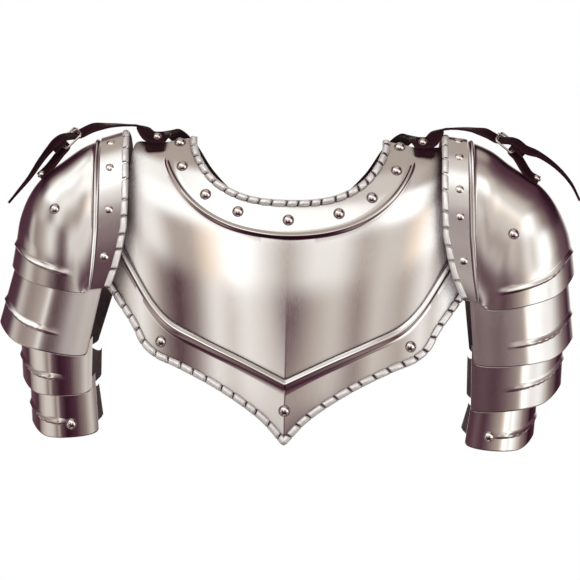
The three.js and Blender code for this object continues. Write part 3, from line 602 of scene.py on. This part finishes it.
# front plate
plate = {
    "wall": 1.3,
    "neckEdge": [(0, -61), (28, -59.5), (50, -54), (72, -41), (86, -23), (92, -8), (92.5, 1)],
    "collarLine": [(0, -97), (51, -90), (82, -76), (104, -57), (119, -34), (125, -16), (126, -5.5)],
    "borderLine": [(0, -243.5), (42, -223), (83, -204), (114, -188), (131, -171), (158, -128), (170, -107)],
    "lowerEdge": [(0, -303), (21, -280), (62, -251.5), (106, -229), (127, -220), (140, -209), (150, -190),
                  (166, -167), (179, -149)],
    "sideEdge": [(126, -5.5), (141, -5), (153, -6), (158, -24), (160, -50), (164, -80), (170, -107)],
    "beadWidth": 8, "beadHeight": 2.8,
    "borderWidth": 11, "borderHeight": 2.6,
    "beadFade": (0.87, 0.92),     # where the collar line dies out towards the shoulders
    "collarRivets": [(109.5, -5), (106.5, -29), (82.5, -57), (50, -73.5), (0, -81)],
    "borderRivets": [(123.5, -203.5), (0, -269)],
    "columns": 361, "ropeSteps": 1601,
}
chest = {"shoulder": 12, "rise": 38, "riseLength": 35, "slope": 0.2, "tuck": 0.0005, "tuckStart": 60,
         "halfWidth": 196, "keelStart": -95, "keelRise": 0.000055, "keelWidth": 26}


def chestDepth(x, z):
    tuck = chest["tuck"] * np.maximum(-chest["tuckStart"] - z, 0) ** 2
    middle = (chest["shoulder"] + chest["rise"] * (1 - np.exp(np.minimum(z, 0) / chest["riseLength"]))
              + chest["slope"] * np.maximum(-z, 0) - tuck)
    bend = np.sqrt(np.maximum(1 - (x / chest["halfWidth"]) ** 2, 0.02))
    keel = chest["keelRise"] * np.maximum(chest["keelStart"] - z, 0) ** 2
    return -(middle * bend + keel * np.exp(-np.abs(x) / chest["keelWidth"]))


def onPlate(x, z, out=0.0):
    e = 1.0
    alongX = np.array([2 * e, chestDepth(x + e, z) - chestDepth(x - e, z), 0])
    alongZ = np.array([0, chestDepth(x, z + e) - chestDepth(x, z - e), 2 * e])
    normal = unit(np.cross(alongX, alongZ))
    return np.array([x, chestDepth(x, z), z]) + normal * out, normal


def halfOutline(table, smooth):
    right = np.array(table, float)
    line = smoothLine(np.vstack([right[1:][::-1] * [-1, 1], right]) if smooth else right)
    start = 0.5 if smooth else 0.0

    def at(s):
        p = pointAt(line, start + np.abs(s) * (1 - start))
        p[:, 0] = np.abs(p[:, 0]) * np.sign(s)
        return p
    return at


neckAt = halfOutline(plate["neckEdge"], True)
collarAt = halfOutline(plate["collarLine"], True)
borderAt = halfOutline(plate["borderLine"], False)
hemAt = halfOutline(plate["lowerEdge"], False)
sideLine = smoothLine(plate["sideEdge"])


def towards(start, end, distance):
    return lambda s: start(s) + unit(end(s) - start(s)) * distance


def between(start, end, share):
    return lambda s: start(s) * (1 - share) + end(s) * share


def panelRow(share):          # drawn out at the sides to end on the arm opening
    line = between(collarAt, borderAt, share)

    def at(s):
        row = line(s)
        pull = pointAt(sideLine, share)[0] - line(np.array([1.0]))[0]
        row[:, 0] += np.sign(s) * pull[0] * s ** 4
        row[:, 1] += pull[1] * s ** 4
        return row
    return at


def buildPlate(p):                        # rows of points from the neck edge down to the lower edge
    s = np.linspace(-1, 1, p["columns"])
    bead, border = p["beadWidth"] / 2, p["borderWidth"] / 2
    fade = 1 - smoothStep(np.abs(s), *p["beadFade"])
    aboveBead, belowBorder = towards(collarAt, neckAt, bead), towards(borderAt, hemAt, border)
    rows = [(between(neckAt, aboveBead, share), 0) for share in np.linspace(0, 0.86, 14)]
    rows += [(towards(collarAt, neckAt if d < 0 else borderAt, abs(d) * bead),
              roundRidge(d * bead, bead, p["beadHeight"]) * fade) for d in np.linspace(-1, 1, 13)]
    rows += [(panelRow(share), 0) for share in np.linspace(0.03, 0.97, 42)]
    rows += [(towards(borderAt, collarAt if d < 0 else hemAt, abs(d) * border),
              roofRidge(d * border, border, p["borderHeight"])) for d in np.linspace(-1, 1, 15)]
    rows += [(between(belowBorder, hemAt, share), 0) for share in np.linspace(0.12, 1, 14)]
    grid = []
    for at, _ in rows:
        x, z = at(s).T
        grid.append(np.stack([x, chestDepth(x, z), z], axis=1))
    lift = np.array([rise + np.zeros(len(s)) for _, rise in rows])
    piece = addSheet("frontPlate", np.array(grid), lift, p["wall"], 1, chestSteel)
    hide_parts("gorget_plate")
    for name, edgeAt, into, brick in (("neckRope", neckAt, collarAt, rope["neckBrick"]),
                                      ("lowerRope", hemAt, borderAt, rope["lowerBrick"])):
        dense = np.linspace(-1, 1, p["ropeSteps"])
        spots = [onPlate(x, z) for x, z in towards(edgeAt, into, rope["width"] / 2)(dense)]
        line, up = [np.array(values) for values in zip(*spots)]
        inside = np.insert(into(dense) - edgeAt(dense), 1, 0, axis=1)
        addRope(name, line, up, inside, brick)


def bothSides(places):
    return [(-x, z) for x, z in places if x > 0] + places[::-1]


def plateRivets(name, places, prefix):
    spots = [onPlate(x, z) for x, z in bothSides(places)]
    piece = addRivets(name, spots)
    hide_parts(*[f"{prefix}_{i + 1}" for i in range(len(spots))])


buildPlate(plate)
plateRivets("collarRivets", plate["collarRivets"], "collar_rivet")
plateRivets("borderRivets", plate["borderRivets"], "border_rivet")
print("stage: front plate")


# shoulder guards: each side was raised by hand and differs a little from the other
guards = {
    "right_arm": {
        "side": -1,
        "edge": {"frontX": 176, "frontZ": -151, "topX": 161, "topZ": 4.5, "depth": 62, "bow": 11.4},
        "bead": {"frontX": 196, "frontZ": -154, "topX": 192, "topZ": -5, "depth": 64, "bow": 3},
        "crown": [(192, -5), (207, -12), (226, -26), (247, -43), (260, -62), (268, -84), (271, -104),
                  (275, -131)],
        "hem": {"frontX": 201, "frontZ": -156, "depth": 66, "dip": 9},
        "bandRivets": [72, 52, 31, 12],
        "faceRivet": (1.4, 46),
        "lames": [                # top and foot: front x and z, outermost x and z, depth
            {"name": "upper", "dip": 15, "rearInset": 6, "flute": 21,
             "top": (180, -138, 268, -116, 59), "foot": (196, -216, 286, -187, 67)},
            {"name": "middle", "dip": 15, "rearInset": 5, "flute": 20,
             "top": (191, -200, 266, -184, 60), "foot": (191, -251, 262, -240, 62)},
            {"name": "lower", "dip": 14, "flute": 17,
             "top": (188, -236, 256, -226, 56.5), "foot": (183, -291, 252, -285, 57)},
        ],
        "smoothLames": ["middle", "lower"],
        "lameRivet": (0.76, 22),
        "innerAngles": [46, 30, 27, 22],
        "toeBar": (212, 4), "heelBar": (226, -10),
        "strap": [(150, 10.2), (164, 11.2), (182, 10.4), (196, 8)],
        "tail": [(247.5, -25), (259, -43), (270, -57), (279.5, -69)],
        "chapeFoot": [(249, -42.5), (240, -33.5)],
        "crossing": -0.6,
    },
    "left_arm": {
        "side": 1,
        "edge": {"frontX": 174, "frontZ": -155, "topX": 152, "topZ": 5.5, "depth": 62, "bow": 13.4},
        "bead": {"frontX": 190, "frontZ": -158, "topX": 181, "topZ": 2, "depth": 64, "bow": 3},
        "crown": [(181, 2), (202, -7), (220, -20), (237, -31), (252, -41), (267, -59), (279, -84),
                  (284, -104), (287, -127)],
        "hem": {"frontX": 196, "frontZ": -163, "depth": 66, "dip": 16},
        "bandRivets": [79, 62, 43, 31, 14],
        "faceRivet": (1.42, 36),
        "lames": [
            {"name": "upper", "dip": 17, "flute": 22,
             "top": (180, -142, 279, -114, 59), "foot": (186, -217, 287, -191, 67)},
            {"name": "middle", "dip": 15, "flute": 24,
             "top": (184, -201, 278, -176, 60.5), "foot": (184, -263, 276, -238, 62)},
            {"name": "lower", "dip": 14, "flute": 17,
             "top": (186, -248, 254, -234, 56.5), "foot": (179, -297, 250, -288, 57)},
        ],
        "smoothLames": ["lower"],
        "lameRivet": (0.72, 18),
        "innerAngles": [36, 27, 23, 18],
        "toeBar": (208, 8), "heelBar": (224, -5),
        "strap": [(150, 12.4), (165, 14.6), (183, 13.6), (195, 10.8)],
        "tail": [(248, -9.5), (266, -21.5), (281, -37.5), (290.5, -55)],
        "chapeFoot": [(249, -36), (239, -30)],
        "crossing": 3.6,
    },
}
guardForm = {
    "wall": 1.3, "copRearInset": 6, "cornerRound": 12, "cornerAngle": 22,
    "copFlute": 20, "fluteHeight": 1.7, "fluteHalf": 3.4, "fluteDrop": 0.22,
    "beadHalf": 3.4, "beadHeight": 2.1, "bandRivetAcross": 0.56, "hemRound": 0.45, "hemRoundWidth": 0.9,
    "keelHeight": 2.2, "keelAngle": 33, "keelWidth": 14, "keelSoft": 3, "lameRivetRise": 1.65,
    "bowAngles": [0, 8, 14, 23, 41, 60, 90], "bowShares": [0, 0.56, 0.8, 1, 0.72, 0.34, 0],
}
ends = {"front": lambda a: a, "rear": lambda a: 180 - a}     # angle over the shoulder, seen from each end


def hemDip(angle):
    swing = np.maximum(np.sin(2 * angle), 0)
    return np.where(angle < math.pi / 4, np.sqrt(swing), swing ** 2)


def archPoint(arch, side, degrees):
    degrees = np.asarray(degrees, float)
    angle = np.radians(degrees)
    fold = np.minimum(degrees, 180 - degrees)
    inset = arch["rearInset"]
    middle = arch["frontX"] - inset / 2
    share = np.interp(fold, guardForm["bowAngles"], guardForm["bowShares"])
    x = middle + inset / 2 * np.cos(angle) + (arch["topX"] - middle) * np.sin(angle) - arch["bow"] * share
    rise = (arch["topZ"] - arch["frontZ"]) * np.sin(angle)
    z = arch["frontZ"] + rise - arch["dip"] * hemDip(np.radians(fold))
    return np.stack([side * x, -arch["depth"] * np.cos(angle), z], axis=-1)


def copArch(guard, across):
    edge, bead, hem = guard["edge"], guard["bead"], guard["hem"]
    inset = guardForm["copRearInset"]
    if across <= 1:
        return {k: edge[k] * (1 - across) + bead[k] * across for k in edge} | {"dip": 0, "rearInset": inset}
    share = across - 1
    x, z = pointAt(guard["crownLine"], share)[0]
    arch = {k: bead[k] * (1 - share) + hem[k] * share for k in ("frontX", "frontZ", "depth")}
    return arch | {"topX": x, "topZ": z, "bow": bead["bow"] * (1 - share), "dip": hem["dip"] * share ** 2,
                   "rearInset": inset}


def copSurface(guard):
    return lambda across, degrees: archPoint(copArch(guard, across), guard["side"], degrees)


def lamePoint(lame, side, along, degrees):
    mixed = [a * (1 - along) + b * along for a, b in zip(lame["top"], lame["foot"])]
    arch = dict(zip(("frontX", "frontZ", "topX", "topZ", "depth"), mixed))
    arch.update(bow=0, dip=lame["dip"], rearInset=lame.get("rearInset", 0))
    p = archPoint(arch, side, degrees)
    turn = smoothStep(np.asarray(degrees, float), 180 - guardForm["cornerAngle"], 180) ** 2
    p[..., 2] += guardForm["cornerRound"] * turn * (2 * along - 1)
    return p


def lameSurface(lame, side):
    return lambda along, degrees: lamePoint(lame, side, along, degrees)


def onSurface(surface, u, v, side, out=0.0):
    e = 0.01
    alongV = surface(u, v + 1) - surface(u, v - 1)
    alongU = surface(u + e, v) - surface(u - e, v)
    normal = unit(np.cross(alongU, alongV)) * side
    return surface(u, v) + normal * out, normal


def fluteLine(distance, fold):         # the ridge sinks a little towards the front
    return distance * (1 + guardForm["fluteDrop"] * (smoothStep(fold, 15, 80) - 0.6))


def hemBevel(distance):        # the free edge is filed round
    return -guardForm["hemRound"] * np.clip(1 - distance / guardForm["hemRoundWidth"], 0, 1) ** 2


# rows of points run from the neck edge (0) over the raised line (1) to the hem (2)
def buildCop(name, guard):
    side, form, surface = guard["side"], guardForm, copSurface(guard)
    degrees = np.linspace(0, 180, 181)
    edge, bead = guard["edge"], guard["bead"]
    bandWidth = math.hypot(bead["topX"] - edge["topX"], bead["topZ"] - edge["topZ"])
    crownLength = lineLength(guard["crownLine"])
    plain = 9                             # a distance from the raised line at which it has died out
    half = form["beadHalf"]
    rows = [(a, 0) for a in np.linspace(0.06, 1 - 4.6 / bandWidth, 10)]
    rows += [(1 + d / bandWidth, d) for d in np.linspace(-half, 0, 6)[:-1]]
    rows += [(1 + d / crownLength, d) for d in np.linspace(0, half, 6)]
    rows += [(a, plain) for a in np.linspace(1 + 6 / crownLength, 2 - 44 / crownLength, 32)[:-1]]
    rows += [(a, plain) for a in np.linspace(2 - 44 / crownLength, 2 - 1.2 / crownLength, 72)]
    rows += [(2 - d / crownLength, plain) for d in (0.7, 0.3, 0)]
    grid = np.stack([surface(a, degrees) for a, _ in rows])
    ridge = [roundRidge(d, half, form["beadHeight"]) if d < plain else 0.0 for _, d in rows]
    lift = np.stack([np.full(len(degrees), rise) for rise in ridge])
    flat = grid.reshape(-1, 1, 3)

    def distanceTo(line):
        return np.min(np.linalg.norm(flat - line[None, :, :], axis=2), axis=1).reshape(lift.shape)

    fromHem = distanceTo(surface(2.0, np.linspace(0, 180, 361)))
    fromBead = distanceTo(surface(1.0, np.linspace(0, 180, 361)))
    fold = np.minimum(degrees, 180 - degrees)[None, :]
    across = np.array([a for a, _ in rows])[:, None]
    flute = crestRidge(fromHem - fluteLine(form["copFlute"], fold), form["fluteHalf"], form["fluteHeight"])
    flute = flute * smoothStep(fromBead, 15, 42) * (across > 1)
    lift = lift + flute + np.where(across > 1.2, hemBevel(fromHem), 0)
    piece = addSheet(f"{name}_cop_plate", grid, lift, form["wall"], side, guardSteel)
    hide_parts(f"{name}_cop")
    half = rope["width"] / 2
    dense = np.linspace(0, 180, 901)
    line = surface(half / bandWidth, dense)
    into = unit(surface((half + 2) / bandWidth, dense) - line)
    up = unit(np.cross(into, unit(np.gradient(line, axis=0)))) * side
    addRope(f"{name}_cop_rope", line, up, into, rope["copBrick"])


def buildLame(name, guard, lame):
    side, form = guard["side"], guardForm
    degrees = np.linspace(0, 180, 161)
    height = lame["top"][3] - lame["foot"][3]
    fromHem = np.concatenate([np.linspace(height, 34, 12)[:-1], np.linspace(34, 10, 44)[:-1],
                              np.linspace(10, 1.4, 8), [0.9, 0.5, 0.2, 0]])
    grid = np.stack([lamePoint(lame, side, 1 - d / height, degrees) for d in fromHem])
    fold = np.minimum(degrees, 180 - degrees)
    offCrest = np.sqrt((fold - form["keelAngle"]) ** 2 + form["keelSoft"] ** 2) - form["keelSoft"]
    keel = form["keelHeight"] * np.exp(-offCrest / form["keelWidth"])
    flute = crestRidge(fromHem[:, None] - fluteLine(lame["flute"], fold)[None, :], form["fluteHalf"],
                       form["fluteHeight"])
    lift = keel[None, :] + flute * smoothStep(fold, 19, 42)[None, :] + hemBevel(fromHem)[:, None]
    steel = lameSteel if lame["name"] in guard["smoothLames"] else guardSteel
    piece = addSheet(f"{name}_{lame['name']}_lame_plate", grid, lift, form["wall"], side, steel)
    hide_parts(f"{name}_{lame['name']}_lame")


def guardRivets(name, guard):
    side, across = guard["side"], guardForm["bandRivetAcross"]
    cop, foot = copSurface(guard), lameSurface(guard["lames"][2], side)
    front = [onSurface(cop, across, a, side) for a in guard["bandRivets"]]
    piece = addRivets(f"{name}_band_rivets", front)
    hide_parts(*[f"{name}_band_rivet_{i + 1}" for i in range(len(front))])
    rear = [onSurface(cop, across, 180 - a, side) for a in guard["bandRivets"]]
    addRivets(f"{name}_rear_band_rivets", rear)
    (faceAt, faceAngle), (lameAt, lameAngle) = guard["faceRivet"], guard["lameRivet"]
    held = []
    for mirror in ends.values():
        held.append(onSurface(cop, faceAt, mirror(faceAngle), side))
        held.append(onSurface(foot, lameAt, mirror(lameAngle), side, guardForm["lameRivetRise"]))
    piece = addRivets(f"{name}_leather_rivets", held)
    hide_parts(*[f"{name}_{end}_{what}_rivet" for end in ends for what in ("cop", "lame")])


for name, guard in guards.items():
    guard["crownLine"] = smoothLine(guard["crown"])
    buildCop(name, guard)
    for lame in guard["lames"]:
        buildLame(name, guard, lame)
    guardRivets(name, guard)
print("stage: shoulder guards")


# straps and buckles
strapForm = {
    "wall": 2.3, "shoulderWidth": 15, "backWidth": 18, "innerWidth": 18, "tip": 0.3,
    "gapY": -4, "buckleY": -10, "buckleLean": 32, "tailLean": 20, "chapeRise": 0.2,
    "onPlate": 2.6, "onTab": 5.4, "tabX": 132, "tabZ": -4.5, "tabStud": 3.8, "chapeStud": 3.4,
    "insideGuard": -3.9, "insidePlate": -4.3,        # from the face of the steel to the leather behind it
}
buckle = {
    "width": 23, "length": 20, "bar": 2.4, "corner": 3.2, "flatness": 0.9, "foldRadius": 3.9, "sides": 12,
    "prong": ((0, 0.9), (0.5, 0.88), (0.85, 0.7), (1, 0.45)),      # share of its length, radius
}
strapProfile = [(-1, -0.55), (-0.94, -1), (0, -1.0), (0.94, -1), (1, -0.55), (1, 0.55), (0.94, 1), (0.5, 1.0),
                (0, 1.04), (-0.5, 1.0), (-0.94, 1), (-1, 0.55)]


def addStrap(name, nodes, stations, width, tipShare=0.0, density=14):
    points = smoothLine(np.array([p for p, _ in stations]), samples=600)
    ways = smoothLine(np.array([n for _, n in stations]), samples=600)
    count = (len(stations) - 1) * density + 1
    shares = np.linspace(0, 1, count)
    centre = resample(points, shares)
    way = resample(ways, shares)
    tangent = unit(np.gradient(centre, axis=0))
    across = unit(np.cross(tangent, way))
    up = unit(np.cross(across, tangent))
    half = np.full(count, width / 2)
    if tipShare:
        half *= np.clip((1 - shares) / tipShare, 0.1, 1)
    profile = np.array(strapProfile)
    rise = profile[None, :, 1] * strapForm["wall"] / 2
    ring = sweep(centre, across, up, profile[:, 0] * half[:, None], rise)
    k = len(profile)
    quads = np.roll(tubeFaces(count, k), -1, axis=1).tolist()
    quads += [list(range(k)), list(range((count - 1) * k, count * k))[::-1]]
    piece = addMesh(name, ring, quads, strapLeather, 50)
    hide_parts(*nodes)
    length = lineLength(centre) * mm


def innerStraps(name, guard):
    side, cop, inside = guard["side"], copSurface(guard), strapForm["insideGuard"]
    top = guard["faceRivet"][0]
    for end, mirror in ends.items():
        first, *angles = [mirror(angle) for angle in guard["innerAngles"]]
        stations = [onSurface(cop, top - 0.08, first, side, inside),
                    onSurface(cop, top + 0.08, first, side, inside - 1)]
        for lame, angle in zip(guard["lames"], angles):
            surface = lameSurface(lame, side)
            stations.append(onSurface(surface, 0.04, angle, side, inside - 1.2))
        stations += [onSurface(surface, 0.45, angle, side, inside - 0.6),
                     onSurface(surface, 0.86, angle, side, inside - 0.4)]
        addStrap(f"{name}_{end}_lame_leather", [f"{name}_{end}_inner_leather"], stations,
                 strapForm["innerWidth"])


backRoute = [                             # place and outward way, for the strap that starts at +X
    (129, -5, 2, 0, -0.5, 0.9), (127, 9, 4.6, 0, 0.1, 1), (118, 29, 6, 0.1, 0.4, 0.9),
    (103, 52, -8, 0.2, 0.7, 0.7), (84, 75, -36, 0.2, 0.9, 0.35), (60, 94, -60, 0.15, 0.95, 0.15),
    (32, 106, -79, 0.1, 1, 0.05), (0, 111, -92, 0, 1, 0), (-42, 105, -103, -0.15, 1, 0),
    (-85, 87, -114, -0.5, 0.85, 0), (-120, 61, -124, -0.75, 0.65, 0), (-143, 26, -132, -0.95, 0.3, 0),
    (-154, -10, -138, -0.98, -0.15, 0),
]


def backStrap(name, guard):
    side, form = guard["side"], strapForm
    stations = [onPlate(side * x, z, form["onPlate"] + more)
                for x, z, more in ((133.5, -15, 0), (133.5, -10, 0), (132.5, -5, 0.2))]
    for x, y, z, nx, ny, nz in backRoute:
        share = math.exp(-(x / 90) ** 2)
        place = np.array([side * x, y + guard["crossing"] * share, z])
        stations.append((place, np.array([side * nx, ny, nz])))
    stations += [onPlate(-side * x, z, form["insidePlate"] - more)
                 for x, z, more in ((157.5, -141, 1), (145.5, -143, 0), (129.5, -146, 0))]
    addStrap(f"{name}_back_leather", [f"{name}_back_strap"], stations, form["backWidth"],
             density=12)
    tab = onPlate(side * form["tabX"], form["tabZ"], form["onTab"] + 2.2)
    piece = addRivets(f"{name}_tab_stud", [tab], form["tabStud"])
    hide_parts(f"{name}_tab_rivet")


def addBuckleFrame(name, centre, across, down, out):
    bar, corner, sides = buckle["bar"], buckle["corner"], buckle["sides"]
    halfW, halfL = buckle["width"] / 2 - bar / 2, buckle["length"] / 2
    path = []
    for i, (signX, signY) in enumerate(((1, 1), (-1, 1), (-1, -1), (1, -1))):
        for step in range(9):
            a = math.radians(90 * i + 90 * step / 8)
            path.append((signX * (halfW - corner) + corner * math.cos(a),
                         signY * (halfL - corner) + corner * math.sin(a)))
    path = np.array(path)
    n = len(path)
    tangent = unit(np.roll(path, -1, axis=0) - np.roll(path, 1, axis=0))
    normal = np.stack([tangent[:, 1], -tangent[:, 0]], axis=1)
    verts = []
    for spot, way in zip(path, normal):
        for c, s in circle(sides):
            x, y = spot + way * (bar / 2 * c)
            rise = bar / 2 * buckle["flatness"] * s
            verts.append(centre + across * x + down * y + out * rise)
    faces = [[i * sides + k, ((i + 1) % n) * sides + k, ((i + 1) % n) * sides + (k + 1) % sides,
              i * sides + (k + 1) % sides] for i in range(n) for k in range(sides)]
    return addMesh(name, verts, faces, nickel, 60)


def leaning(way, degrees):
    return way * math.cos(math.radians(degrees)) + np.array([0, -math.sin(math.radians(degrees)), 0])


def shoulderStrap(name, guard):
    side, form = guard["side"], strapForm
    buckleY, tabX, tabZ = form["buckleY"], form["tabX"], form["tabZ"]
    inPlane = lambda p, y=buckleY: np.array([side * p[0], y, p[1]])
    toe, heel = inPlane(guard["toeBar"]), inPlane(guard["heelBar"])
    down = unit(heel - toe)
    upright = np.array([side * abs(down[2]), 0, abs(down[0])])
    out = leaning(upright, form["buckleLean"])
    at = lambda start, d, o: start + down * d + out * o
    up = np.array([0, 0, 1.0])
    stations = [onPlate(side * (tabX - 7), tabZ, form["onTab"] + 0.3),
                onPlate(side * (tabX + 6), tabZ, form["onTab"] + 1.4)]
    for i, p in enumerate(guard["strap"]):
        share = (i / (len(guard["strap"]) - 1)) ** 2
        y = form["gapY"] * (1 - share) + buckleY * share
        stations.append((inPlane(p, y), leaning(up, form["buckleLean"] * share)))
    stations += [(at(toe, 1.5, -3.4), out), (at(toe, 7.5, 0.6), out), (at(toe, 12.5, 4.8), out),
                 (at(heel, -2, 7.4), out), (at(heel, 8, 7.9), out)]
    for i, p in enumerate(guard["tail"]):
        share = (i + 1) / len(guard["tail"])
        lean = form["buckleLean"] * (1 - share) + form["tailLean"] * share
        stations.append((inPlane(p), leaning(upright, lean)))
    addStrap(f"{name}_shoulder_leather", [f"{name}_shoulder_strap"], stations, form["shoulderWidth"],
             tipShare=form["tip"])
    roundBar = buckle["foldRadius"]
    foot = [(at(inPlane(p), 0, form["chapeRise"]), out) for p in guard["chapeFoot"]]
    fold = [(at(heel, 7, -roundBar - 0.6), out)]
    for degrees in (-90, -45, 0, 45, 90):
        c, s = math.cos(math.radians(degrees)), math.sin(math.radians(degrees))
        fold.append((at(heel, -roundBar * c, roundBar * s), down * c - out * s))
    fold += [(at(heel, 5, roundBar), -out), (at(heel, 11, roundBar - 1), -out)]
    addStrap(f"{name}_chape_leather", [f"{name}_chape"], foot + fold, form["shoulderWidth"],
             density=8)
    across = np.cross(down, out)
    loop = addBuckleFrame(f"{name}_buckle", (toe + heel) / 2, across, down, out)
    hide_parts(f"{name}_buckle_frame")
    start = at(toe, 4.6, 3.4)
    end = at(toe, -2.4, 2.5)
    sides, sections = buckle["sides"], buckle["prong"]
    way = unit(end - start)
    lateral = unit(np.cross(way, out))
    rise = np.cross(lateral, way)
    verts = [start + (end - start) * share + lateral * radius * c + rise * radius * s
             for share, radius in sections for c, s in circle(sides)]
    prong = addMesh(f"{name}_prong", verts, drumFaces(len(sections) - 1, sides), nickel, 60)
    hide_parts(f"{name}_buckle_prong")
    studAt = at(inPlane(guard["chapeFoot"][0]), -3, 1.4)
    stud = addRivets(f"{name}_chape_stud", [(studAt, out)], form["chapeStud"])
    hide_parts(f"{name}_chape_rivet")


for name, guard in guards.items():
    shoulderStrap(name, guard)
    innerStraps(name, guard)
    backStrap(name, guard)
print("stage: straps and buckles")
